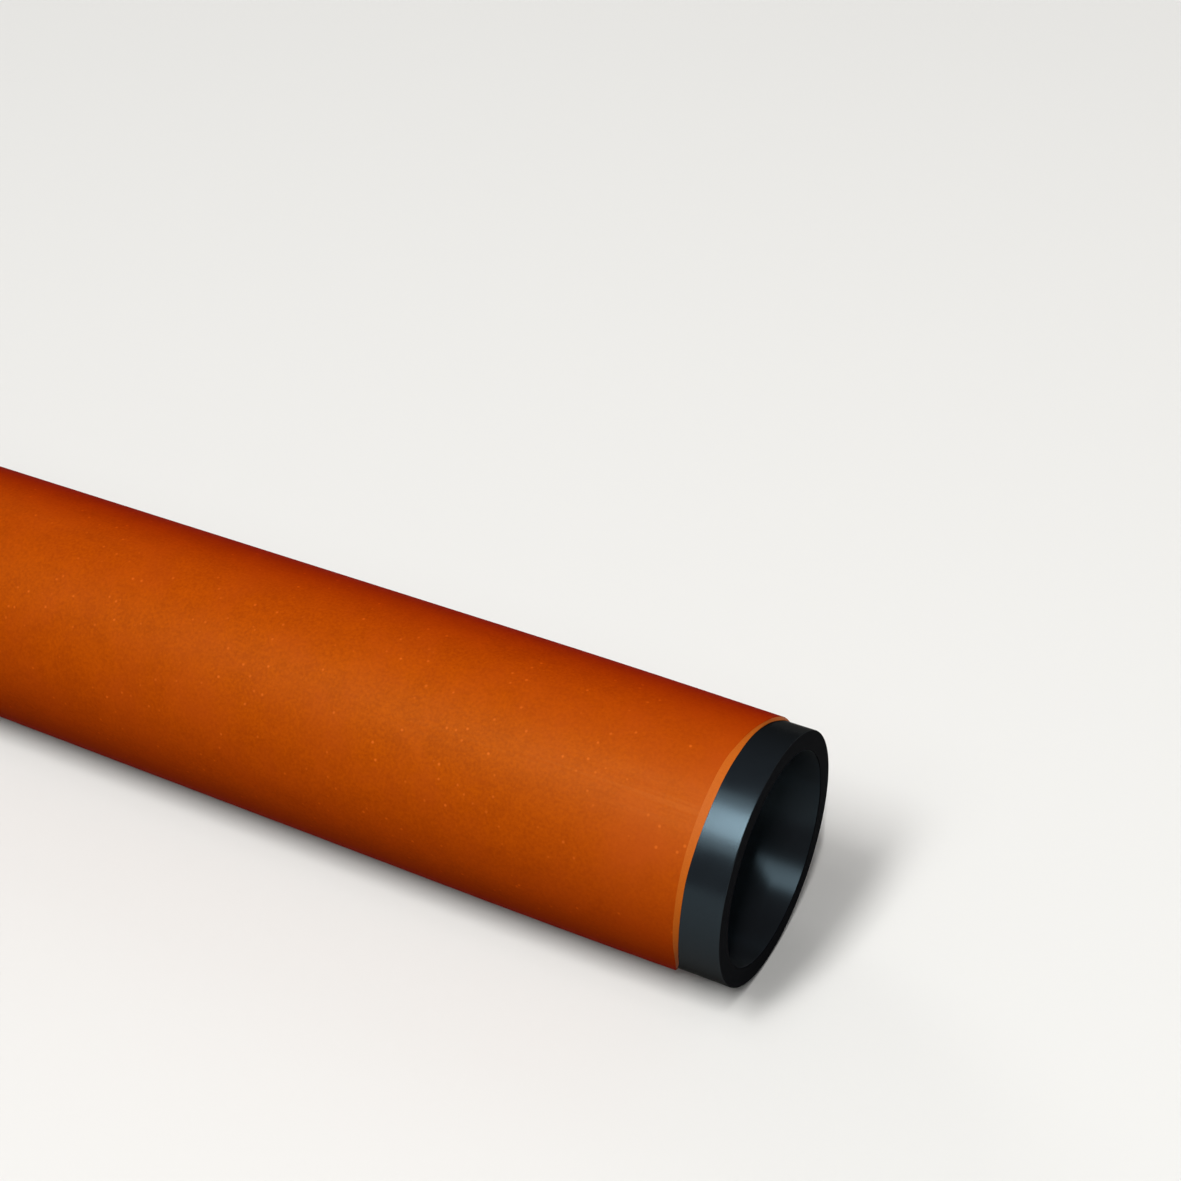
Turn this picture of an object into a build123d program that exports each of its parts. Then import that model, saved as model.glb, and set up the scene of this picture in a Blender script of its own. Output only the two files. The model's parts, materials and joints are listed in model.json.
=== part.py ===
from build123d import *
import os

# A straight length of black polyethylene pressure pipe in a thin orange protective jacket.
# The pipe lies along X. The origin is on its axis, in the face of the stripped end, which looks
# towards +X, and the rest of the length runs back along -X. +Z is up. Sizes are in millimetres.

# Driving dimensions of the core pipe
pipe_length = 6000.0
core_diameter = 160.0
wall_thickness = 12.2
rim_break = 0.5

# Driving dimensions of the protective jacket
jacket_thickness = 1.7
stripped_length = 24.0
jacket_bevel_length = 4.0

# The stripped end draws in, as the stress that extrusion left in the wall relaxes
draw_in_depth = 1.5
draw_in_length = 168.0

# Radii and places along the axis that follow from these
core_radius = core_diameter / 2
bore_radius = core_radius - wall_thickness
jacket_radius = core_radius + jacket_thickness
ring_radius = core_radius - draw_in_depth
ring_bore_radius = bore_radius - draw_in_depth
far_end_x = -pipe_length
jacket_cut_x = -stripped_length
jacket_full_x = jacket_cut_x - jacket_bevel_length
draw_in_start_x = jacket_cut_x - draw_in_length


def drawn_in(radius, x):
    """The radius at x of a surface that has this radius where the pipe is straight.

    The draw-in is one arc, tangent to the straight pipe where it starts and ending at the jacket's cut.
    """
    arc_radius = (draw_in_length**2 + draw_in_depth**2) / (2 * draw_in_depth)
    run = x - draw_in_start_x
    return radius - (arc_radius - (arc_radius**2 - run**2) ** 0.5)


def skin_line(radius, last_x):
    """The outline of a surface from the far end, straight and then along the draw-in, up to last_x."""
    bend = (draw_in_start_x, radius)
    last = (last_x, drawn_in(radius, last_x))
    return Line((far_end_x, radius), bend) + TangentArc(bend, last, tangent=(1, 0))


def turned(outline):
    """The solid that a closed outline, drawn with the axis as its base line, sweeps around the axis."""
    return revolve(Plane.XZ * make_face(outline), axis=Axis.X, revolution_arc=360)


def make_core_pipe():
    """The black pipe: one wall thickness all along, drawn in at its end, where it is a true ring."""
    ring_section = Polyline(
        (jacket_cut_x, ring_radius),
        (-rim_break, ring_radius),
        (0, ring_radius - rim_break),
        (0, ring_bore_radius + rim_break),
        (-rim_break, ring_bore_radius),
        (jacket_cut_x, ring_bore_radius),
    )
    outside = skin_line(core_radius, jacket_cut_x)
    inside = skin_line(bore_radius, jacket_cut_x)
    far_cut = Line((far_end_x, bore_radius), (far_end_x, core_radius))
    return turned(outside + ring_section + inside + far_cut)


def make_protective_jacket():
    """The orange skin, tight on the core all along, with a slope where a knife stripped it back."""
    inside = skin_line(core_radius, jacket_cut_x)
    outside = skin_line(jacket_radius, jacket_full_x)
    knife_cut = Line((jacket_full_x, drawn_in(jacket_radius, jacket_full_x)), (jacket_cut_x, ring_radius))
    far_cut = Line((far_end_x, core_radius), (far_end_x, jacket_radius))
    return turned(inside + knife_cut + outside + far_cut)


os.makedirs("parts", exist_ok=True)
export_step(make_core_pipe(), "parts/core_pipe.step")
export_step(make_protective_jacket(), "parts/protective_jacket.step")
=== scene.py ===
import json
import logging
import math
from dataclasses import dataclass, replace
from enum import IntEnum
from typing import Any, Sequence

import bpy
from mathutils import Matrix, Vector


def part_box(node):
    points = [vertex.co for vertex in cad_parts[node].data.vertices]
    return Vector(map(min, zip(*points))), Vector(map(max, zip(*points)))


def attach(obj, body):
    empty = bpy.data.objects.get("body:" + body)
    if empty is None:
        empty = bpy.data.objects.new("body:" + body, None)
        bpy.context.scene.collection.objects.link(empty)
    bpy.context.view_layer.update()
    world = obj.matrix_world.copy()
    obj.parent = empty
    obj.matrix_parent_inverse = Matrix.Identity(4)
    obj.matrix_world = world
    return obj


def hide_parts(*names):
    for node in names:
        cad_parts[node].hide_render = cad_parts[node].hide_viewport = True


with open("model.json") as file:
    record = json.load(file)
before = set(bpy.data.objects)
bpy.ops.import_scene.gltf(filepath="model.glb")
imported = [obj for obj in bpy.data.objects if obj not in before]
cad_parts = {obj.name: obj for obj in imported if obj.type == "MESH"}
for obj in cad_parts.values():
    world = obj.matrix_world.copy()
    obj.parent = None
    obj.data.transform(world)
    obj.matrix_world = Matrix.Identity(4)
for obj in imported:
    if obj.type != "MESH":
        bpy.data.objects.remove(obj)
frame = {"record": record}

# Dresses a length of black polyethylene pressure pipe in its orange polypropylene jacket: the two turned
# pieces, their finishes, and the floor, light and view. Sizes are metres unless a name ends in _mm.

LOG = logging.getLogger("jacketed_pipe")
MM = 0.001
ROUND_STEPS = 6
# The light at which a facing white surface renders as 1.
FULL_LIGHT = math.pi
# Mix and Compare repeat their socket names for each data type, so theirs are given by number.
MIX_A, MIX_B, MIX_COLOUR = 6, 7, 2
COMPARE_INT_A, COMPARE_INT_B = 2, 3
Socket = bpy.types.NodeSocket
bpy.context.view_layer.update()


def to_linear(hex_colour: str) -> tuple[float, float, float, float]:
    """Turn an sRGB hex colour into the linear colour that sockets take.

    Args:
        hex_colour: Six hex digits after a hash, such as "#b4540b".

    Returns:
        Red, green, blue and an alpha of one.
    """
    shares = [int(hex_colour[i : i + 2], 16) / 255 for i in (1, 3, 5)]
    linear = [s / 12.92 if s <= 0.04045 else ((s + 0.055) / 1.055) ** 2.4 for s in shares]
    return (linear[0], linear[1], linear[2], 1.0)


def add_node(
    tree: bpy.types.NodeTree,
    kind: str,
    settings: dict[str, Any] | None = None,
    inputs: dict[str | int, Any] | None = None,
) -> bpy.types.Node:
    """Add a node to a tree, with its settings, values and links.

    Args:
        tree: The tree that gets the node.
        kind: The node's type, by Blender's identifier.
        settings: The node's own attributes, by name.
        inputs: What goes into each input, by its name or number: a value, or an output socket to link.

    Returns:
        The new node.
    """
    node = tree.nodes.new(kind)
    for name, value in (settings or {}).items():
        setattr(node, name, value)
    for key, value in (inputs or {}).items():
        if isinstance(value, Socket):
            tree.links.new(value, node.inputs[key])
        else:
            node.inputs[key].default_value = value
    return node


def per_size(size_mm: float) -> float:
    """The texture scale that makes a pattern's features about this many millimetres across."""
    return 1 / (size_mm * MM)


def steps_from(start: float, end: float, count: int) -> list[float]:
    """The starts of this many equal steps from one place to another."""
    return [start + (end - start) * i / count for i in range(count)]


class Surface(IntEnum):
    """The surfaces of a turned piece, each with a finish of its own."""

    SKIN = 0
    CUT = 1
    FACE = 2
    BORE = 3


@dataclass(frozen=True)
class PipeSizes:
    """The part's own sizes and places along its axis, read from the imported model."""

    far_end_x: float
    draw_in_x: float
    jacket_cut_x: float
    rim_break: float
    core_radius: float
    bore_radius: float
    ring_radius: float
    ring_bore_radius: float
    jacket_radius: float

    @classmethod
    def from_frame(cls) -> "PipeSizes":
        """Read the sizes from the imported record's mounts and the jacket's box.

        Returns:
            The sizes.
        """
        mounts = {mount["name"]: mount for mount in frame["record"]["mounts"]}
        radius = {name: mount["dims"]["r_mm"] * MM for name, mount in mounts.items() if mount["dims"]}
        far_end_x = mounts["far_bore"]["pos_m"][0]
        draw_in = radius["far_bore"] - radius["end_bore"]
        return cls(
            far_end_x=far_end_x,
            draw_in_x=far_end_x + mounts["far_bore"]["dims"]["length_mm"] * MM,
            jacket_cut_x=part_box("protective_jacket")[1][0],
            rim_break=-mounts["end_spigot"]["pos_m"][0],
            core_radius=radius["end_spigot"] + draw_in,
            bore_radius=radius["far_bore"],
            ring_radius=radius["end_spigot"],
            ring_bore_radius=radius["end_bore"],
            jacket_radius=radius["jacket_barrel"],
        )

    def drawn_in(self, radius: float, x: float) -> float:
        """The radius at x of a surface that has this radius where the pipe is straight.

        Args:
            radius: The surface's radius on the straight pipe.
            x: The place along the axis.

        Returns:
            The radius there: straight, then one arc down to the ring of the end, then straight.
        """
        depth = self.core_radius - self.ring_radius
        length = self.jacket_cut_x - self.draw_in_x
        arc_radius = (length**2 + depth**2) / (2 * depth)
        run = min(max(x - self.draw_in_x, 0.0), length)
        return radius - (arc_radius - math.sqrt(arc_radius**2 - run**2))


@dataclass(frozen=True)
class KnifePath:
    """How far the hand-held knife ran ahead of a square cut, in millimetres, at angles around the pipe.

    Angles are degrees up from the level front. The slope is broad on the front and almost gone at the
    top of the back, where the cut began and a tongue of the jacket was left.
    """

    outer_mm: tuple[tuple[float, float], ...] = (
        (180, 3.6), (150, 6.0), (133, 6.4), (123, 6.8), (112, 6.3), (99, 4.4), (85, 2.2), (76, 0.8),
        (66, 0.4), (48, 0.1), (23, 0.2), (-7, 0.2), (-22, -0.3), (-32, -2.4), (-40, -5.6), (-47, -8.6),
        (-60, -10.4), (-80, -9.0), (-110, -4.0), (-140, 0.4),
    )
    inner_mm: tuple[tuple[float, float], ...] = (
        (180, 2.3), (150, 4.7), (133, 5.6), (123, 5.0), (114, 3.6), (106, 2.6), (93, 1.6), (78, 1.1),
        (58, 0.9), (41, 0.5), (23, -0.3), (5, -0.4), (-9, -1.1), (-21, -2.8), (-31, -5.4), (-40, -9.2),
        (-47, -12.2), (-60, -13.8), (-80, -12.2), (-110, -6.8), (-140, -1.2),
    )
    reach_mm: float = 16.0

    def curve(self, path: tuple[tuple[float, float], ...]) -> list[tuple[float, float]]:
        """A path as the points of a float curve, both ways from nought to one, closed on itself.

        Args:
            path: Angles in degrees and lengths in millimetres.

        Returns:
            The share of a turn and the share of the knife's reach, which is a half where it is square.
        """
        points = [((180 - angle) / 360, 0.5 + 0.5 * run / self.reach_mm) for angle, run in path]
        return [*points, (1.0, points[0][1])]


@dataclass(frozen=True)
class SectionPoint:
    """A point of a turned piece's section, and the surface that runs from it to the next point.

    Its give is how far it follows the knife, from nought to one, and inner says which of the two edges of
    the knife's slope it follows: nought for the outer, one for the lip.
    """

    x: float
    radius: float
    surface: Surface
    give: float = 0.0
    inner: float = 0.0


class TurnedSection:
    """A Geometry Nodes tree that turns a section around the X axis, with a hand-cut edge that wanders."""

    INPUTS: tuple[tuple[str, str], ...] = (
        ("Section", "NodeSocketGeometry"),
        ("Segments", "NodeSocketInt"),
        ("Knife reach", "NodeSocketFloat"),
        ("Cut wander", "NodeSocketFloat"),
        ("Wander waves", "NodeSocketFloat"),
        ("Seed", "NodeSocketInt"),
        ("Sharp angle", "NodeSocketFloat"),
        *((f"{surface.name.title()} material", "NodeSocketMaterial") for surface in Surface),
    )
    WELD_DISTANCE = 0.001 * MM
    WANDER_DETAIL = 3.0
    # How far apart the slope's two edges read the wander, so that they don't stray quite alike.
    WANDER_OFFSET = 0.4

    def __init__(self, knife_path: KnifePath) -> None:
        """Build the tree once, for every piece to share.

        Args:
            knife_path: Where the knife ran.
        """
        self.knife_path = knife_path
        self.tree = bpy.data.node_groups.new("turned_section", "GeometryNodeTree")
        for name, kind in self.INPUTS:
            self.tree.interface.new_socket(name, in_out="INPUT", socket_type=kind)
        self.tree.interface.new_socket("Turned piece", in_out="OUTPUT", socket_type="NodeSocketGeometry")
        self._given = add_node(self.tree, "NodeGroupInput").outputs
        self._finish(self._turn())

    def _math(self, operation: str, *values: Any) -> Socket:
        """One sum in the tree, as its output socket."""
        inputs = dict(enumerate(values))
        return add_node(self.tree, "ShaderNodeMath", {"operation": operation}, inputs).outputs[0]

    def _attribute(self, name: str, data_type: str) -> Socket:
        """A named attribute of whatever the reading node works on."""
        settings, inputs = {"data_type": data_type}, {"Name": name}
        return add_node(self.tree, "GeometryNodeInputNamedAttribute", settings, inputs).outputs[0]

    def _sampled(self, value: Socket, data_type: str, index: Socket) -> Socket:
        """A value of the section's points, read for each point or face of the turned grid.

        Args:
            value: What to read on the section.
            data_type: Its type, by Blender's name.
            index: The number of the section's point.

        Returns:
            The value that was read.
        """
        settings = {"data_type": data_type, "domain": "POINT"}
        inputs = {"Geometry": self._given["Section"], "Value": value, "Index": index}
        return add_node(self.tree, "GeometryNodeSampleIndex", settings, inputs).outputs[0]

    def _turn(self) -> Socket:
        """Lay a grid of section points by segments, and wrap it around the axis.

        Returns:
            The wrapped mesh, welded, with each face's surface number stored on it.
        """
        tree, given = self.tree, self._given
        count = add_node(
            tree, "GeometryNodeAttributeDomainSize", {"component": "MESH"}, {"Geometry": given["Section"]}
        ).outputs["Point Count"]
        row_length = self._math("ADD", count, 1.0)
        rows = self._math("ADD", given["Segments"], 1.0)
        grid = add_node(
            tree, "GeometryNodeMeshGrid", inputs={"Vertices X": rows, "Vertices Y": row_length}
        ).outputs["Mesh"]
        index = add_node(tree, "GeometryNodeInputIndex").outputs[0]
        face_place = self._math("MODULO", index, count)
        face_surface = self._sampled(self._attribute("surface", "INT"), "INT", face_place)
        stored = add_node(
            tree,
            "GeometryNodeStoreNamedAttribute",
            {"data_type": "INT", "domain": "FACE"},
            {"Geometry": grid, "Name": "surface", "Value": face_surface},
        ).outputs[0]
        row = self._math("FLOOR", self._math("DIVIDE", self._math("ADD", index, 0.5), row_length))
        step = self._math("SUBTRACT", index, self._math("MULTIPLY", row, row_length))
        place = self._math("MODULO", step, count)
        turn = self._math("MULTIPLY", self._math("DIVIDE", row, given["Segments"]), math.tau)
        position = add_node(tree, "GeometryNodeInputPosition").outputs[0]
        sampled_place = self._sampled(position, "FLOAT_VECTOR", place)
        point = add_node(tree, "ShaderNodeSeparateXYZ", inputs={0: sampled_place}).outputs
        cosine, sine = self._math("COSINE", turn), self._math("SINE", turn)
        along = self._math("ADD", point["X"], self._wander(turn, cosine, sine, place))
        across = self._math("MULTIPLY", point["Z"], cosine)
        up = self._math("MULTIPLY", point["Z"], sine)
        turned_place = add_node(
            tree, "ShaderNodeCombineXYZ", inputs={"X": along, "Y": across, "Z": up}
        ).outputs[0]
        wrapped = add_node(
            tree, "GeometryNodeSetPosition", inputs={"Geometry": stored, "Position": turned_place}
        ).outputs[0]
        inputs = {"Geometry": wrapped, "Distance": self.WELD_DISTANCE}
        return add_node(tree, "GeometryNodeMergeByDistance", inputs=inputs).outputs[0]

    def _knife_run(self, share: Socket, path: tuple[tuple[float, float], ...]) -> Socket:
        """How far the knife ran ahead of a square cut, as a share of its reach either way.

        Args:
            share: The share of a turn around the pipe.
            path: Angles in degrees and lengths in millimetres.

        Returns:
            The share of the reach, from minus one to one.
        """
        node = add_node(self.tree, "ShaderNodeFloatCurve", inputs={"Value": share})
        points = node.mapping.curves[0].points
        wanted = self.knife_path.curve(path)
        while len(points) < len(wanted):
            points.new(0.5, 0.5)
        for point, place in zip(points, wanted):
            point.location = place
        node.mapping.update()
        return self._math("MULTIPLY_ADD", node.outputs[0], 2.0, -1.0)

    def _wander(self, turn: Socket, cosine: Socket, sine: Socket, place: Socket) -> Socket:
        """How far the knife strayed along the axis, where the section gives way to it.

        Args:
            turn: The angle around the axis.
            cosine: Its cosine.
            sine: Its sine.
            place: The section point's number.

        Returns:
            The shift along the axis: the knife's run and a fine wander, times the point's give.
        """
        given = self._given
        give = self._sampled(self._attribute("give", "FLOAT"), "FLOAT", place)
        inner = self._sampled(self._attribute("inner", "FLOAT"), "FLOAT", place)
        share = self._math("DIVIDE", turn, math.tau)
        outer_run = self._knife_run(share, self.knife_path.outer_mm)
        inner_run = self._knife_run(share, self.knife_path.inner_mm)
        run = self._math("MULTIPLY_ADD", self._math("SUBTRACT", inner_run, outer_run), inner, outer_run)
        circle = add_node(self.tree, "ShaderNodeCombineXYZ", inputs={"Y": cosine, "Z": sine}).outputs[0]
        stray = add_node(
            self.tree,
            "ShaderNodeTexNoise",
            {"noise_dimensions": "4D"},
            {
                "Vector": circle,
                "W": self._math("MULTIPLY_ADD", inner, self.WANDER_OFFSET, given["Seed"]),
                "Scale": given["Wander waves"],
                "Detail": self.WANDER_DETAIL,
            },
        ).outputs[0]
        centred = self._math("MULTIPLY_ADD", stray, 2.0, -1.0)
        knife_shift = self._math("MULTIPLY", run, given["Knife reach"])
        fine_shift = self._math("MULTIPLY", centred, given["Cut wander"])
        return self._math("MULTIPLY", self._math("ADD", knife_shift, fine_shift), give)

    def _finish(self, mesh: Socket) -> None:
        """Shade the turned mesh smooth between its sharp edges and give each surface its material.

        Args:
            mesh: The turned mesh.
        """
        tree, given = self.tree, self._given
        angle = add_node(tree, "GeometryNodeInputMeshEdgeAngle").outputs["Unsigned Angle"]
        settings = {"data_type": "FLOAT", "operation": "GREATER_THAN"}
        inputs = {0: angle, 1: given["Sharp angle"]}
        is_sharp = add_node(tree, "FunctionNodeCompare", settings, inputs).outputs[0]
        mesh = add_node(
            tree,
            "GeometryNodeSetShadeSmooth",
            {"domain": "EDGE"},
            {"Geometry": mesh, "Selection": is_sharp, "Shade Smooth": False},
        ).outputs[0]
        mesh = add_node(tree, "GeometryNodeRealizeInstances", inputs={"Geometry": mesh}).outputs[0]
        surface_number = self._attribute("surface", "INT")
        for surface in Surface:
            settings = {"data_type": "INT", "operation": "EQUAL"}
            inputs = {COMPARE_INT_A: surface_number, COMPARE_INT_B: int(surface)}
            chosen = add_node(tree, "FunctionNodeCompare", settings, inputs).outputs[0]
            material = given[f"{surface.name.title()} material"]
            inputs = {"Geometry": mesh, "Selection": chosen, "Material": material}
            mesh = add_node(tree, "GeometryNodeSetMaterial", inputs=inputs).outputs[0]
        add_node(tree, "NodeGroupOutput", inputs={"Turned piece": mesh})

    def make(self, name: str, section: Sequence[SectionPoint], values: dict[str, Any]) -> bpy.types.Object:
        """Turn a section into a plain mesh object.

        Args:
            name: The piece's name.
            section: The closed section, whose outside runs from the far end to the near one.
            values: What each named input of the tree takes.

        Returns:
            The piece, with a plain mesh and no modifier.
        """
        outline = bpy.data.meshes.new(f"{name}_section")
        outline.from_pydata([(p.x, 0.0, p.radius) for p in section], [], [])
        for attribute, kind in (("surface", "INT"), ("give", "FLOAT"), ("inner", "FLOAT")):
            store = outline.attributes.new(attribute, kind, "POINT")
            store.data.foreach_set("value", [getattr(p, attribute) for p in section])
        piece = bpy.data.objects.new(name, outline)
        bpy.context.scene.collection.objects.link(piece)
        modifier = piece.modifiers.new("turned_section", "NODES")
        modifier.node_group = self.tree
        for item in self.tree.interface.items_tree:
            if item.in_out == "INPUT" and item.name in values:
                modifier[item.identifier] = values[item.name]
        evaluated = piece.evaluated_get(bpy.context.evaluated_depsgraph_get())
        turned = bpy.data.meshes.new_from_object(evaluated)
        piece.modifiers.clear()
        turned.name = name
        piece.data = turned
        bpy.data.meshes.remove(outline)
        return piece


def rounded(x: float, radius: float, size: float, start: float, surface: Surface) -> list[SectionPoint]:
    """A quarter round of a section's corner.

    Args:
        x: The round's centre along the axis.
        radius: The round's centre from the axis.
        size: The round's own radius.
        start: The direction that the round starts in, in degrees from +X towards the outside.
        surface: The surface it belongs to.

    Returns:
        Its points, going clockwise as the section does.
    """
    turns = [math.radians(start - 90 * step / ROUND_STEPS) for step in range(ROUND_STEPS + 1)]
    return [SectionPoint(x + size * math.cos(t), radius + size * math.sin(t), surface) for t in turns]


@dataclass
class CorePipe:
    """The black pressure pipe: straight, drawn in at its end, sawn and lightly deburred."""

    sizes: PipeSizes
    segments: int = 288
    straight_steps: int = 12
    draw_in_steps: int = 24
    ring_steps: int = 6
    far_break: float = 0.4 * MM
    sharp_degrees: float = 18.0

    def stations(self) -> list[float]:
        """The places along the axis where the section of a skin has a point.

        Returns:
            The places, from the far end to the near one.
        """
        s = self.sizes
        straight = steps_from(s.far_end_x + self.far_break, s.draw_in_x, self.straight_steps)
        bend = steps_from(s.draw_in_x, s.jacket_cut_x, self.draw_in_steps)
        ring = steps_from(s.jacket_cut_x, -s.rim_break, self.ring_steps)
        return straight + bend + ring

    def section(self) -> list[SectionPoint]:
        """The closed section of the pipe's wall.

        Returns:
            The outside, the sawn end, the bore back, and the sawn far end.
        """
        s, far_break = self.sizes, self.far_break
        outside = [SectionPoint(x, s.drawn_in(s.core_radius, x), Surface.SKIN) for x in self.stations()]
        inside = [SectionPoint(x, s.drawn_in(s.bore_radius, x), Surface.BORE) for x in self.stations()]
        near_outer = rounded(-s.rim_break, s.ring_radius - s.rim_break, s.rim_break, 90, Surface.SKIN)
        near_inner = rounded(-s.rim_break, s.ring_bore_radius + s.rim_break, s.rim_break, 0, Surface.FACE)
        far_x = s.far_end_x + far_break
        far_inner = rounded(far_x, s.bore_radius + far_break, far_break, 270, Surface.BORE)
        far_outer = rounded(far_x, s.core_radius - far_break, far_break, 180, Surface.SKIN)
        near_outer[-1] = replace(near_outer[-1], surface=Surface.FACE)
        near_inner[-1] = replace(near_inner[-1], surface=Surface.BORE)
        far_inner[-1] = replace(far_inner[-1], surface=Surface.FACE)
        return outside + near_outer + near_inner + inside[::-1] + far_inner[1:] + far_outer[:-1]

    def build(self, turner: TurnedSection) -> bpy.types.Object:
        """Turn the pipe, dress it and hang it on the part's body.

        Args:
            turner: The tree that turns sections.

        Returns:
            The piece.
        """
        skin = ExtrudedPolyethylene().material()
        values = {
            "Segments": self.segments,
            "Sharp angle": math.radians(self.sharp_degrees),
            "Skin material": skin,
            "Cut material": skin,
            "Face material": SawnPolyethylene().material(),
            "Bore material": BorePolyethylene().material(),
        }
        piece = turner.make("black_core_pipe", self.section(), values)
        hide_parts("core_pipe")
        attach(piece, "root")
        return piece


@dataclass
class ProtectiveJacket:
    """The orange skin, tight on the core, knifed back by hand at the near end."""

    sizes: PipeSizes
    bevel_length: float = 4.0 * MM
    lip_thickness: float = 0.2 * MM
    seat_gap: float = 0.02 * MM
    segments: int = 360
    straight_steps: int = 12
    draw_in_steps: int = 24
    cut_steps: int = 8
    cut_reach: float = 30.0 * MM
    cut_wander: float = 0.5 * MM
    wander_waves: float = 3.0
    slope_shares: tuple[float, ...] = (0.02, 0.35, 0.7, 1.0)
    sharp_degrees: float = 14.0
    seed: int = 7

    def section(self) -> list[SectionPoint]:
        """The closed section of the jacket's wall.

        Returns:
            The outside, the knife's slope down to a thin lip, and the seat on the core back.
        """
        s = self.sizes
        full_x = s.jacket_cut_x - self.bevel_length
        reach_x = full_x - self.cut_reach
        xs = steps_from(s.far_end_x, s.draw_in_x, self.straight_steps)
        xs += steps_from(s.draw_in_x, reach_x, self.draw_in_steps)
        outside = [SectionPoint(x, s.drawn_in(s.jacket_radius, x), Surface.SKIN) for x in xs]
        for i in range(self.cut_steps + 1):
            share = i / self.cut_steps
            x = reach_x + self.cut_reach * share
            outside.append(SectionPoint(x, s.drawn_in(s.jacket_radius, x), Surface.SKIN, share**2))
        high = s.drawn_in(s.jacket_radius, full_x)
        low = s.ring_radius + self.lip_thickness
        slope = []
        for share in self.slope_shares:
            x, radius = full_x + self.bevel_length * share, high + (low - high) * share
            slope.append(SectionPoint(x, radius, Surface.CUT, give=1.0, inner=share))
        seat_radius = s.ring_radius + self.seat_gap
        seat = [SectionPoint(s.jacket_cut_x, seat_radius, Surface.BORE, give=1.0, inner=1.0)]
        for x in [reach_x, *xs[::-1]]:
            seat.append(SectionPoint(x, s.drawn_in(s.core_radius, x) + self.seat_gap, Surface.BORE))
        seat[-1] = replace(seat[-1], surface=Surface.FACE)
        return outside + slope + seat

    def build(self, turner: TurnedSection) -> bpy.types.Object:
        """Turn the jacket, dress it and hang it on the part's body.

        Args:
            turner: The tree that turns sections.

        Returns:
            The piece.
        """
        skin, cut = ExtrudedPolypropylene().material(), CutPolypropylene().material()
        values = {
            "Segments": self.segments,
            "Knife reach": turner.knife_path.reach_mm * MM,
            "Cut wander": self.cut_wander,
            "Wander waves": self.wander_waves,
            "Seed": self.seed,
            "Sharp angle": math.radians(self.sharp_degrees),
            "Skin material": skin,
            "Cut material": cut,
            "Face material": cut,
            "Bore material": skin,
        }
        piece = turner.make("orange_protective_jacket", self.section(), values)
        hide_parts("protective_jacket")
        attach(piece, "root")
        return piece


@dataclass(frozen=True)
class Pattern:
    """A noise pattern's real size, how many finer layers it has, and how strong they are."""

    size_mm: float
    detail: float = 2.0
    fineness: float = 0.5

    def at(self, place: Socket) -> dict[str | int, Any]:
        """What a noise texture takes to draw the pattern over these coordinates."""
        scale = per_size(self.size_mm)
        return {"Vector": place, "Scale": scale, "Detail": self.detail, "Roughness": self.fineness}


def new_material(name: str) -> tuple[bpy.types.Material, bpy.types.NodeTree]:
    """Make an empty node material.

    Args:
        name: The finish's name.

    Returns:
        The material and its tree.
    """
    material = bpy.data.materials.new(name)
    material.use_nodes = True
    material.node_tree.nodes.clear()
    return material, material.node_tree


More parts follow.
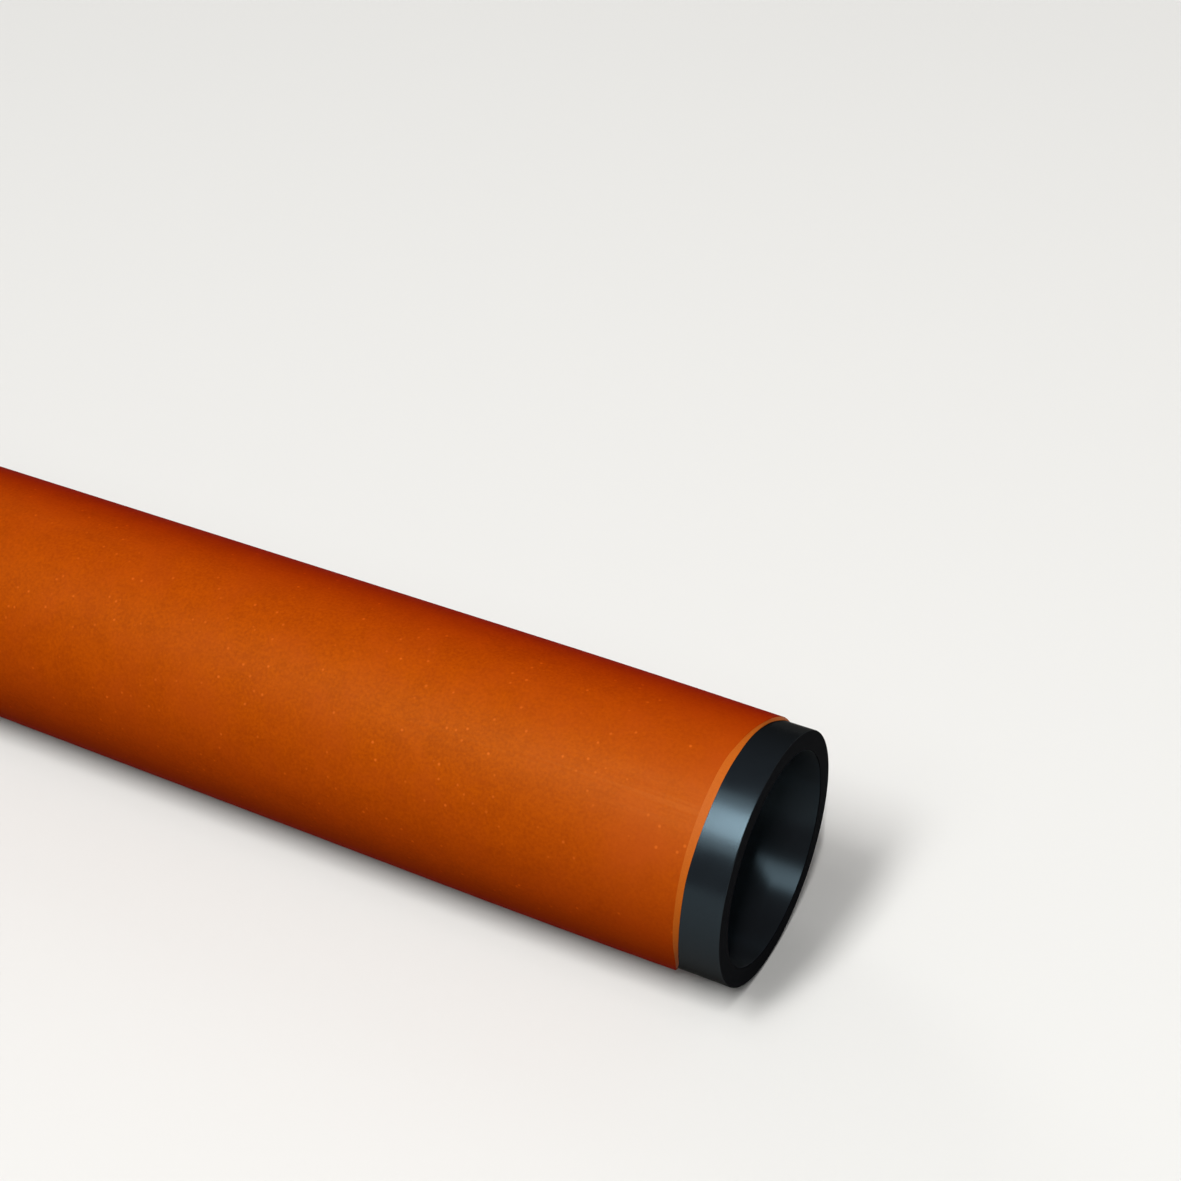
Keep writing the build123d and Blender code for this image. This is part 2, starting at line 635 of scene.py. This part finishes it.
# Pigmented polypropylene from a die, unpolished: an even satin orange without a clear highlight of its own,
# softly mottled and greyer in clouds where dust has dulled it, and deeper in tone where it is seen at a
# slant. A clear layer with next to no gloss gives that last, by its depth_tone and depth_ior. Towards the
# stripped end a paler, pinker tone is painted in as a sheen: a painted highlight where the lamps' gloss
# falls.
# The die lines and specks are finer in the real one, and are drawn as coarse as they need to show.
@dataclass(frozen=True)
class ExtrudedPolypropylene:
    """Polypropylene run over the pipe through a die: satin, faintly lined along it, softly mottled."""

    name: str = "extruded_polypropylene"
    tone: str = "#b06302"
    deep_tone: str = "#9d5302"
    # A greyer pink: the tone of the dust-dulled clouds, and also of the painted sheen near the stripped end.
    bloom_and_sheen_tone: str = "#b05e36"
    dust_tone: str = "#dd8856"
    depth_tone: str = "#f2bf6c"
    depth_ior: float = 1.015
    roughness: float = 0.5
    roughness_fall: float = 0.05
    roughness_rise: float = 0.06
    specular: float = 0.26
    ior: float = 1.49
    mottle: Pattern = Pattern(16.0, detail=4.0, fineness=0.6)
    grain: Pattern = Pattern(1.9)
    grain_share: float = 0.65
    tone_span: tuple[float, float] = (0.36, 0.64)
    lines: Pattern = Pattern(1.4)
    line_span: tuple[float, float] = (0.3, 0.7)
    line_run: float = 0.012
    line_height_share: float = 0.5
    bloom: Pattern = Pattern(42.0, detail=5.0, fineness=0.62)
    bloom_span: tuple[float, float] = (0.44, 0.7)
    bloom_share: float = 0.4
    # Painted sheen: over this length towards the stripped end the tone grows paler and pinker, standing in
    # for the highlight there.
    end_sheen_length: float = 190.0 * MM
    end_sheen_share: float = 0.42
    dust_spacing_mm: float = 9.0
    dust_mm: float = 1.2
    dust_core_share: float = 0.4
    peel_height: float = 0.05 * MM
    peel_strength: float = 0.6

    def _dulled_and_end_sheen(self, tree: bpy.types.NodeTree, place: Socket) -> Socket:
        """How far the skin is dulled in soft clouds all over, plus a painted sheen that grows towards the
        stripped end.

        Args:
            tree: The material's tree.
            place: The object's coordinates.

        Returns:
            The share, from nought to one.
        """
        bloom = add_node(tree, "ShaderNodeTexNoise", inputs=self.bloom.at(place)).outputs[0]
        low, high = self.bloom_span
        bloomed = add_node(
            tree,
            "ShaderNodeMapRange",
            inputs={"Value": bloom, "From Min": low, "From Max": high, "To Max": self.bloom_share},
        ).outputs[0]
        along = add_node(tree, "ShaderNodeSeparateXYZ", inputs={0: place}).outputs["X"]
        # Painted sheen: a paler tone that grows towards the stripped end, where the highlight falls.
        end_sheen = add_node(
            tree,
            "ShaderNodeMapRange",
            {"interpolation_type": "SMOOTHSTEP"},
            {"Value": along, "From Min": -self.end_sheen_length, "From Max": 0.0, "To Max": self.end_sheen_share},
        ).outputs[0]
        settings = {"operation": "ADD", "use_clamp": True}
        return add_node(tree, "ShaderNodeMath", settings, {0: bloomed, 1: end_sheen}).outputs[0]

    def _specks(self, tree: bpy.types.NodeTree, place: Socket, mottle: Socket) -> Socket:
        """Where specks of dust lie, fainter where the mottle is low.

        Args:
            tree: The material's tree.
            place: The object's coordinates.
            mottle: The mottle, from nought to one.

        Returns:
            The share of dust.
        """
        dust = add_node(
            tree,
            "ShaderNodeTexVoronoi",
            inputs={"Vector": place, "Scale": per_size(self.dust_spacing_mm), "Randomness": 1.0},
        ).outputs["Distance"]
        radius = self.dust_mm / self.dust_spacing_mm
        is_dust = add_node(
            tree,
            "ShaderNodeMapRange",
            inputs={"Value": dust, "From Min": radius, "From Max": radius * self.dust_core_share},
        ).outputs[0]
        return add_node(tree, "ShaderNodeMath", {"operation": "MULTIPLY"}, {0: is_dust, 1: mottle}).outputs[0]

    def _tone(self, tree: bpy.types.NodeTree, place: Socket, mottle: Socket) -> Socket:
        """The skin's colour: grain and mottle between two tones, dulled in clouds, with a painted sheen
        towards the stripped end and specks of dust.

        Args:
            tree: The material's tree.
            place: The object's coordinates.
            mottle: The mottle, from nought to one.

        Returns:
            The colour.
        """
        settings = {"data_type": "RGBA"}
        grain = add_node(tree, "ShaderNodeTexNoise", inputs=self.grain.at(place)).outputs[0]
        broad = add_node(
            tree, "ShaderNodeMath", {"operation": "MULTIPLY"}, {0: mottle, 1: 1 - self.grain_share}
        ).outputs[0]
        mixed = add_node(
            tree, "ShaderNodeMath", {"operation": "MULTIPLY_ADD"}, {0: grain, 1: self.grain_share, 2: broad}
        ).outputs[0]
        low, high = self.tone_span
        share = add_node(
            tree, "ShaderNodeMapRange", inputs={"Value": mixed, "From Min": low, "From Max": high}
        ).outputs[0]
        inputs = {"Factor": share, MIX_A: to_linear(self.deep_tone), MIX_B: to_linear(self.tone)}
        clean = add_node(tree, "ShaderNodeMix", settings, inputs).outputs[MIX_COLOUR]
        # The bloom tone comes in twice: as dulling in random clouds, and as the painted sheen towards the
        # stripped end.
        inputs = {"Factor": self._dulled_and_end_sheen(tree, place), MIX_A: clean, MIX_B: to_linear(self.bloom_and_sheen_tone)}
        dulled_and_sheened = add_node(tree, "ShaderNodeMix", settings, inputs).outputs[MIX_COLOUR]
        specks = self._specks(tree, place, mottle)
        inputs = {"Factor": specks, MIX_A: dulled_and_sheened, MIX_B: to_linear(self.dust_tone)}
        return add_node(tree, "ShaderNodeMix", settings, inputs).outputs[MIX_COLOUR]

    def material(self) -> bpy.types.Material:
        """Build the node material.

        Returns:
            The material.
        """
        material, tree = new_material(self.name)
        place = add_node(tree, "ShaderNodeTexCoord").outputs["Object"]
        mottle = add_node(tree, "ShaderNodeTexNoise", inputs=self.mottle.at(place)).outputs[0]
        inputs = {"Vector": place, "Scale": (self.line_run, 1.0, 1.0)}
        stretched = add_node(tree, "ShaderNodeMapping", inputs=inputs).outputs[0]
        lines = add_node(tree, "ShaderNodeTexNoise", inputs=self.lines.at(stretched)).outputs[0]
        low, high = self.line_span
        roughness = add_node(
            tree,
            "ShaderNodeMapRange",
            inputs={
                "Value": lines,
                "From Min": low,
                "From Max": high,
                "To Min": self.roughness - self.roughness_fall,
                "To Max": self.roughness + self.roughness_rise,
            },
        ).outputs[0]
        inputs = {0: lines, 1: self.line_height_share, 2: mottle}
        height = add_node(tree, "ShaderNodeMath", {"operation": "MULTIPLY_ADD"}, inputs).outputs[0]
        inputs = {"Strength": self.peel_strength, "Distance": self.peel_height, "Height": height}
        bump = add_node(tree, "ShaderNodeBump", inputs=inputs).outputs[0]
        shader = add_node(
            tree,
            "ShaderNodeBsdfPrincipled",
            inputs={
                "Base Color": self._tone(tree, place, mottle),
                "Roughness": roughness,
                "IOR": self.ior,
                "Specular IOR Level": self.specular,
                "Normal": bump,
                "Coat Weight": 1.0,
                "Coat Roughness": self.roughness,
                "Coat IOR": self.depth_ior,
                "Coat Tint": to_linear(self.depth_tone),
            },
        ).outputs[0]
        add_node(tree, "ShaderNodeOutputMaterial", inputs={"Surface": shader})
        return material


# Freshly sliced polypropylene: paler than the skin and almost without gloss, with fine drag marks. They
# are finer in the real one, and are drawn as coarse as they need to show.
@dataclass(frozen=True)
class CutPolypropylene:
    """Polypropylene where a knife sliced it: paler than the skin and dull, with fine drag marks."""

    name: str = "knife_cut_polypropylene"
    tone: str = "#c16113"
    dark_tone: str = "#aa4f0c"
    roughness: float = 0.6
    specular: float = 0.15
    ior: float = 1.49
    drag: Pattern = Pattern(0.8, detail=3.0)
    drag_height: float = 0.1 * MM
    drag_strength: float = 0.4

    def material(self) -> bpy.types.Material:
        """Build the node material.

        Returns:
            The material.
        """
        material, tree = new_material(self.name)
        place = add_node(tree, "ShaderNodeTexCoord").outputs["Object"]
        drag = add_node(tree, "ShaderNodeTexNoise", inputs=self.drag.at(place)).outputs[0]
        inputs = {"Factor": drag, MIX_A: to_linear(self.dark_tone), MIX_B: to_linear(self.tone)}
        tone = add_node(tree, "ShaderNodeMix", {"data_type": "RGBA"}, inputs).outputs[MIX_COLOUR]
        inputs = {"Strength": self.drag_strength, "Distance": self.drag_height, "Height": drag}
        bump = add_node(tree, "ShaderNodeBump", inputs=inputs).outputs[0]
        shader = add_node(
            tree,
            "ShaderNodeBsdfPrincipled",
            inputs={
                "Base Color": tone,
                "Roughness": self.roughness,
                "IOR": self.ior,
                "Specular IOR Level": self.specular,
                "Normal": bump,
            },
        ).outputs[0]
        add_node(tree, "ShaderNodeOutputMaterial", inputs={"Surface": shader})
        return material


# Carbon-black polyethylene from a die, its jacket peeled off: a smooth, cool black with a soft but clear
# blue-grey highlight, and darker where it is seen at a slant, by the same kind of clear layer. Its die
# lines are finer in the real one, and are drawn as coarse as they need to show.
@dataclass(frozen=True)
class ExtrudedPolyethylene:
    """Polyethylene filled with carbon black: a cool satin black, lined along its length by the die."""

    name: str = "extruded_polyethylene"
    tone: str = "#1d1f24"
    worn_tone: str = "#262a2f"
    sheen_tone: str = "#c6ecff"
    depth_tone: str = "#afafaf"
    depth_ior: float = 1.01
    roughness: float = 0.25
    roughness_sway: float = 0.02
    specular: float = 1.0
    spread_along: float = 0.1
    ior: float = 1.51
    lines: Pattern = Pattern(0.9)
    line_run: float = 0.01
    clouds: Pattern = Pattern(22.0, detail=4.0)
    cloud_span: tuple[float, float] = (0.3, 0.7)
    scrapes: Pattern = Pattern(0.5, detail=3.0)
    scrape_run: float = 0.012
    scrape_strength: float = 0.3
    relief: float = 0.008 * MM
    relief_strength: float = 0.5

    def _relief(self, tree: bpy.types.NodeTree, place: Socket) -> Socket:
        """The fine relief: die lines along the pipe, and scrapes around it.

        Args:
            tree: The material's tree.
            place: The object's coordinates.

        Returns:
            The bumped normal.
        """
        inputs = {"Vector": place, "Scale": (self.line_run, 1.0, 1.0)}
        along = add_node(tree, "ShaderNodeMapping", inputs=inputs).outputs[0]
        inputs = {"Vector": place, "Scale": (1.0, self.scrape_run, self.scrape_run)}
        around = add_node(tree, "ShaderNodeMapping", inputs=inputs).outputs[0]
        lines = add_node(tree, "ShaderNodeTexNoise", inputs=self.lines.at(along)).outputs[0]
        scrapes = add_node(tree, "ShaderNodeTexNoise", inputs=self.scrapes.at(around)).outputs[0]
        inputs = {0: scrapes, 1: self.scrape_strength, 2: lines}
        height = add_node(tree, "ShaderNodeMath", {"operation": "MULTIPLY_ADD"}, inputs).outputs[0]
        inputs = {"Strength": self.relief_strength, "Distance": self.relief, "Height": height}
        return add_node(tree, "ShaderNodeBump", inputs=inputs).outputs[0]

    def material(self) -> bpy.types.Material:
        """Build the node material.

        Returns:
            The material.
        """
        material, tree = new_material(self.name)
        place = add_node(tree, "ShaderNodeTexCoord").outputs["Object"]
        clouds = add_node(tree, "ShaderNodeTexNoise", inputs=self.clouds.at(place)).outputs[0]
        inputs = {"Factor": clouds, MIX_A: to_linear(self.tone), MIX_B: to_linear(self.worn_tone)}
        tone = add_node(tree, "ShaderNodeMix", {"data_type": "RGBA"}, inputs).outputs[MIX_COLOUR]
        low, high = self.cloud_span
        roughness = add_node(
            tree,
            "ShaderNodeMapRange",
            inputs={
                "Value": clouds,
                "From Min": low,
                "From Max": high,
                "To Min": self.roughness - self.roughness_sway,
                "To Max": self.roughness + self.roughness_sway,
            },
        ).outputs[0]
        axis = add_node(tree, "ShaderNodeCombineXYZ", inputs={"X": 1.0}).outputs[0]
        turned_axis = add_node(
            tree,
            "ShaderNodeVectorTransform",
            {"vector_type": "VECTOR", "convert_from": "OBJECT", "convert_to": "WORLD"},
            {"Vector": axis},
        ).outputs[0]
        shader = add_node(
            tree,
            "ShaderNodeBsdfPrincipled",
            inputs={
                "Base Color": tone,
                "Roughness": roughness,
                "IOR": self.ior,
                "Anisotropic": self.spread_along,
                "Tangent": turned_axis,
                "Specular IOR Level": self.specular,
                "Specular Tint": to_linear(self.sheen_tone),
                "Normal": self._relief(tree, place),
                "Coat Weight": 1.0,
                "Coat Roughness": self.roughness,
                "Coat IOR": self.depth_ior,
                "Coat Tint": to_linear(self.depth_tone),
            },
        ).outputs[0]
        add_node(tree, "ShaderNodeOutputMaterial", inputs={"Surface": shader})
        return material


# The same polyethylene where it cooled in air inside the pipe: a duller black, which draws the light that
# falls into the bore out along it.
@dataclass(frozen=True)
class BorePolyethylene(ExtrudedPolyethylene):
    """The bore's own skin: duller than the outside, without scrapes, its sheen drawn out along the pipe."""

    name: str = "extruded_polyethylene_bore"
    tone: str = "#191a1d"
    worn_tone: str = "#212226"
    depth_tone: str = "#f6f6f6"
    roughness: float = 0.34
    spread_along: float = 0.85
    scrape_strength: float = 0.0


# Polyethylene torn by saw teeth: a deeper black with no gloss, crossed by straight kerf marks. They are
# finer in the real one, and are drawn as coarse as they need to show.
@dataclass(frozen=True)
class SawnPolyethylene:
    """Black polyethylene cut across by a saw: a deeper, duller black with straight kerf marks."""

    name: str = "sawn_polyethylene"
    tone: str = "#090a0d"
    mark_tone: str = "#111317"
    roughness: float = 0.85
    specular: float = 0.02
    ior: float = 1.51
    kerf: Pattern = Pattern(1.2, detail=3.0)
    kerf_degrees: float = 24.0
    kerf_run: float = 0.03
    kerf_depth: float = 0.08 * MM
    kerf_strength: float = 0.5

    def material(self) -> bpy.types.Material:
        """Build the node material.

        Returns:
            The material.
        """
        material, tree = new_material(self.name)
        place = add_node(tree, "ShaderNodeTexCoord").outputs["Object"]
        across = add_node(
            tree,
            "ShaderNodeMapping",
            inputs={
                "Vector": place,
                "Rotation": (math.radians(self.kerf_degrees), 0.0, 0.0),
                "Scale": (1.0, self.kerf_run, 1.0),
            },
        ).outputs[0]
        kerf = add_node(tree, "ShaderNodeTexNoise", inputs=self.kerf.at(across)).outputs[0]
        inputs = {"Factor": kerf, MIX_A: to_linear(self.tone), MIX_B: to_linear(self.mark_tone)}
        tone = add_node(tree, "ShaderNodeMix", {"data_type": "RGBA"}, inputs).outputs[MIX_COLOUR]
        inputs = {"Strength": self.kerf_strength, "Distance": self.kerf_depth, "Height": kerf}
        bump = add_node(tree, "ShaderNodeBump", inputs=inputs).outputs[0]
        shader = add_node(
            tree,
            "ShaderNodeBsdfPrincipled",
            inputs={
                "Base Color": tone,
                "Roughness": self.roughness,
                "IOR": self.ior,
                "Specular IOR Level": self.specular,
                "Normal": bump,
            },
        ).outputs[0]
        add_node(tree, "ShaderNodeOutputMaterial", inputs={"Surface": shader})
        return material


def lamp_direction(height: float, towards_end: float) -> Vector:
    """The direction from the pipe's end to a lamp.

    Args:
        height: Degrees up from the level front, around the pipe.
        towards_end: Degrees from square to the pipe, out past its stripped end.

    Returns:
        The direction, one long.
    """
    up, along = math.radians(height), math.radians(towards_end)
    flat = math.cos(along)
    return Vector((math.sin(along), -flat * math.cos(up), flat * math.sin(up)))


@dataclass(frozen=True)
class LampBank:
    """A row of far soft lamps, which light the whole length and the floor evenly.

    Heights and towards_end are in degrees, as lamp_direction takes them, and softness is each lamp's width
    in degrees.
    """

    name: str
    heights: tuple[float, ...]
    towards_end: float
    softness: float
    share: float

    def build(self) -> list[bpy.types.Object]:
        """Make the lamps.

        Returns:
            The lamps, which together give the bank's share of a full light.
        """
        lamps = []
        for number, height in enumerate(self.heights):
            name = f"{self.name}_{number}"
            lamp = bpy.data.lights.new(name, "SUN")
            lamp.angle = math.radians(self.softness)
            lamp.energy = FULL_LIGHT * self.share / len(self.heights)
            placed = bpy.data.objects.new(name, lamp)
            direction = lamp_direction(height, self.towards_end)
            placed.rotation_euler = direction.to_track_quat("Z", "Y").to_euler()
            lamps.append(placed)
        return lamps


@dataclass(frozen=True)
class StripBox:
    """A tall thin softbox off the stripped end, which shines a little way into the bore."""

    name: str
    height: float
    towards_end: float
    distance: float
    length: float
    breadth: float
    share: float

    def build(self) -> list[bpy.types.Object]:
        """Make the lamp.

        Returns:
            The lamp, in a list, which gives the pipe's end the box's share of a full light.
        """
        lamp = bpy.data.lights.new(self.name, "AREA")
        lamp.shape = "RECTANGLE"
        lamp.size = self.length
        lamp.size_y = self.breadth
        lamp.energy = FULL_LIGHT * self.share * math.pi * self.distance**2
        placed = bpy.data.objects.new(self.name, lamp)
        direction = lamp_direction(self.height, self.towards_end)
        placed.location = direction * self.distance
        placed.rotation_euler = direction.to_track_quat("Z", "Y").to_euler()
        placed.visible_camera = False
        return [placed]


@dataclass
class Studio:
    """The pale floor under the pipe, the light and the view.

    The fill is broad. The key's three lamps lie so close that they melt into one highlight on the ring. The
    back lamp stands past the far end and lights the hidden side, and the end box lights the bore.
    """

    sizes: PipeSizes
    floor_tone: str = "#dad9d6"
    floor_bounce_tone: str = "#393331"
    floor_radius: float = 90.0
    floor_corners: int = 96
    pale_radius: float = 14.0
    ambient: float = 0.19
    lamps: tuple[LampBank | StripBox, ...] = (
        LampBank("fill", heights=(41.0, 77.0), towards_end=-11.5, softness=16.0, share=0.17),
        LampBank("key", heights=(50.5, 58.5, 66.5), towards_end=-11.5, softness=10.0, share=0.7),
        LampBank("back", heights=(140.0,), towards_end=-50.0, softness=24.0, share=0.12),
        StripBox(
            "end_box", height=58.5, towards_end=10.3, distance=4.2, length=0.08, breadth=1.8, share=0.46
        ),
    )
    camera_place: tuple[float, float, float] = (0.3178, -0.8247, 0.7937)
    camera_pitch: float = math.radians(-34.543)
    camera_heading: float = math.radians(118.104)
    lens_mm: float = 61.37
    sensor_mm: float = 36.0

    def link(self, obj: bpy.types.Object) -> bpy.types.Object:
        """Put an object in the scene, and return it."""
        bpy.context.scene.collection.objects.link(obj)
        return obj

    def floor_material(self) -> bpy.types.Material:
        """Make the floor's finish: pale to see and in a gloss, dark to what it lights from below.

        Returns:
            The material, whose pale tone fades into the room's own far away.
        """
        material, tree = new_material("pale_floor")
        largest, mixed = {"operation": "MAXIMUM"}, {"data_type": "RGBA"}
        path = add_node(tree, "ShaderNodeLightPath").outputs
        inputs = {0: path["Is Glossy Ray"], 1: path["Is Transmission Ray"]}
        mirrored = add_node(tree, "ShaderNodeMath", largest, inputs).outputs[0]
        inputs = {0: path["Is Camera Ray"], 1: mirrored}
        seen = add_node(tree, "ShaderNodeMath", largest, inputs).outputs[0]
        place = add_node(tree, "ShaderNodeTexCoord").outputs["Object"]
        away = add_node(tree, "ShaderNodeVectorMath", {"operation": "LENGTH"}, {0: place}).outputs["Value"]
        is_far = add_node(
            tree,
            "ShaderNodeMapRange",
            {"interpolation_type": "SMOOTHSTEP"},
            {"Value": away, "From Min": self.pale_radius, "From Max": self.floor_radius},
        ).outputs[0]
        room_tone = (self.ambient, self.ambient, self.ambient, 1.0)
        inputs = {"Factor": is_far, MIX_A: to_linear(self.floor_tone), MIX_B: room_tone}
        pale = add_node(tree, "ShaderNodeMix", mixed, inputs).outputs[MIX_COLOUR]
        inputs = {"Factor": seen, MIX_A: to_linear(self.floor_bounce_tone), MIX_B: pale}
        tone = add_node(tree, "ShaderNodeMix", mixed, inputs).outputs[MIX_COLOUR]
        shader = add_node(tree, "ShaderNodeBsdfDiffuse", inputs={"Color": tone}).outputs[0]
        add_node(tree, "ShaderNodeOutputMaterial", inputs={"Surface": shader})
        return material

    def build_floor(self) -> None:
        """Lay the floor that the jacket rests on."""
        z, radius, corners = -self.sizes.jacket_radius, self.floor_radius, self.floor_corners
        turns = [math.tau * i / corners for i in range(corners)]
        mesh = bpy.data.meshes.new("floor")
        rim = [(radius * math.cos(t), radius * math.sin(t), z) for t in turns]
        mesh.from_pydata(rim, [], [tuple(range(corners))])
        mesh.materials.append(self.floor_material())
        self.link(bpy.data.objects.new("floor", mesh))

    def build_light(self) -> None:
        """Set the lamps and the even light of the room."""
        for source in self.lamps:
            for lamp in source.build():
                self.link(lamp)
        world = bpy.data.worlds.new("room")
        world.use_nodes = True
        tree = world.node_tree
        tree.nodes.clear()
        even = {"Color": (1.0, 1.0, 1.0, 1.0), "Strength": self.ambient}
        room = add_node(tree, "ShaderNodeBackground", inputs=even).outputs[0]
        add_node(tree, "ShaderNodeOutputWorld", inputs={"Surface": room})
        bpy.context.scene.world = world

    def build_camera(self) -> None:
        """Set the photograph's view: from above the near side, past the stripped end."""
        lens = bpy.data.cameras.new("view")
        lens.lens = self.lens_mm
        lens.sensor_width = self.sensor_mm
        camera = self.link(bpy.data.objects.new("view", lens))
        camera.location = self.camera_place
        pitch, heading = self.camera_pitch, self.camera_heading
        level = math.cos(pitch)
        forward = Vector((level * math.cos(heading), level * math.sin(heading), math.sin(pitch)))
        camera.rotation_euler = forward.to_track_quat("-Z", "Y").to_euler()
        bpy.context.scene.camera = camera

    def build(self) -> None:
        """Build the floor, the light and the view."""
        self.build_floor()
        self.build_light()
        self.build_camera()


def main() -> None:
    """Build the pieces in order, report each, and set the scene around them."""
    logging.basicConfig(level=logging.INFO, format="%(message)s")
    sizes = PipeSizes.from_frame()
    turner = TurnedSection(KnifePath())
    for assembly in (CorePipe(sizes), ProtectiveJacket(sizes)):
        piece = assembly.build(turner)
        LOG.info("%s: %d faces", piece.name, len(piece.data.polygons))
    Studio(sizes).build()
    bpy.context.scene.view_settings.view_transform = "Standard"


if __name__ == "__main__":
    main()
